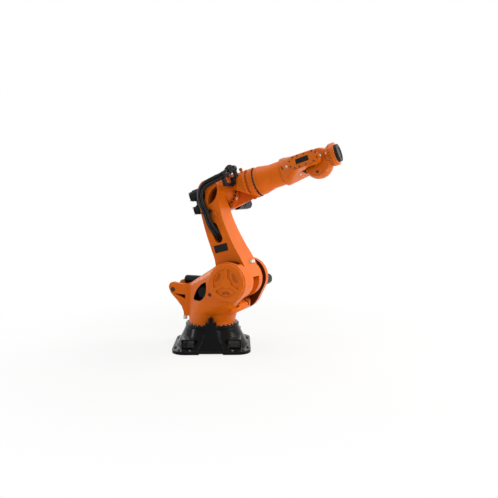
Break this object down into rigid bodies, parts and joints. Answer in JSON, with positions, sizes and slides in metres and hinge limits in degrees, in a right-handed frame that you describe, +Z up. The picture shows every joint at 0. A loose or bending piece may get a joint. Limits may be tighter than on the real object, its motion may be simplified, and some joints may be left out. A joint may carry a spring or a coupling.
{
  "type": "industrial robot arm",
  "caption": "Heavy articulated industrial robot arm: cast floor base, turning column, leaning link arm, geared arm, rolling forearm, bending wrist and tool flange.",
  "frame": {"origin": "slewing axis at floor level, in the middle of the foot plate's underside", "axes": "+Z up, X and Y along the sides of the square foot plate; the picture looks along +Y"},
  "size_m": [2.4531, 1.4922, 2.947],
  "materials": {
    "orange_paint": "semi-gloss two-coat orange on cast metal",
    "black_paint": "glossy black on cast metal",
    "motor_black": "satin black motor housing",
    "dark_metal": "dark oiled metal",
    "bright_steel": "turned bare steel",
    "flange_black": "blackened steel",
    "buffer_white": "off-white moulded plastic",
    "hose_fitting": "black moulded plastic",
    "hose_rubber": "matt black hose"
  },
  "bodies": {
    "base": {"base_casting": "black_paint", "slew_ring": "black_paint", "turn_stop": "black_paint"},
    "column": {"column_casting": "orange_paint", "shoulder_cover": "orange_paint", "shoulder_gear": "dark_metal", "shoulder_motor": "motor_black", "slew_motor": "motor_black", "balance_cylinder": "dark_metal", "balance_accumulator": "motor_black", "balance_pin": "dark_metal"},
    "link_arm": {"link_casting": "orange_paint", "link_buffers": "buffer_white", "elbow_gear": "dark_metal", "hose_clamp_low": "hose_fitting", "hose_outer": "hose_rubber", "hose_inner": "hose_rubber"},
    "arm": {"arm_casting": "orange_paint", "arm_flange": "orange_paint", "seal_ring": "bright_steel", "roll_motor": "motor_black", "bend_motor": "motor_black", "spin_motor": "motor_black", "elbow_motor": "motor_black", "junction_box": "hose_fitting", "hose_clamp_high": "hose_fitting", "hose_socket": "hose_fitting", "arm_eye": "orange_paint"},
    "forearm": {"forearm_tube": "orange_paint", "wrist_casting": "orange_paint", "wrist_cover_near": "orange_paint", "wrist_cover_far": "orange_paint"},
    "swivel": {"swivel_casting": "orange_paint", "spin_housing": "orange_paint"},
    "tool": {"tool_flange": "flange_black"}
  },
  "joints": [
    {"name": "turn", "type": "hinge", "parent": "base", "child": "column", "pos_m": [0, 0, 0.365], "axis": [0, 0, 1], "range_deg": [-161, 209]},
    {"name": "shoulder", "type": "hinge", "parent": "column", "child": "link_arm", "pos_m": [0.45677, -0.20337, 1.045], "axis": [0.4067, 0.9135, 0], "range_deg": [-25, 125]},
    {"name": "elbow", "type": "hinge", "parent": "link_arm", "child": "arm", "pos_m": [0.1494, -0.06652, 2.3007], "axis": [-0.4067, -0.9135, 0], "range_deg": [-57, 187], "deforming": ["hose_outer", "hose_inner"]},
    {"name": "forearm_roll", "type": "hinge", "parent": "arm", "child": "forearm", "pos_m": [0.68622, -0.30553, 2.43381], "axis": [0.8688, -0.3868, 0.309], "range_deg": [-341, 359]},
    {"name": "wrist_bend", "type": "hinge", "parent": "forearm", "child": "swivel", "pos_m": [1.48989, -0.66334, 2.71965], "axis": [0.4459, 0.8826, -0.1488], "range_deg": [-120, 120]},
    {"name": "tool_spin", "type": "hinge", "parent": "swivel", "child": "tool", "pos_m": [1.74186, -0.77552, 2.80926], "axis": [0.8688, -0.3868, 0.309], "range_deg": [-350, 350]}
  ]
}
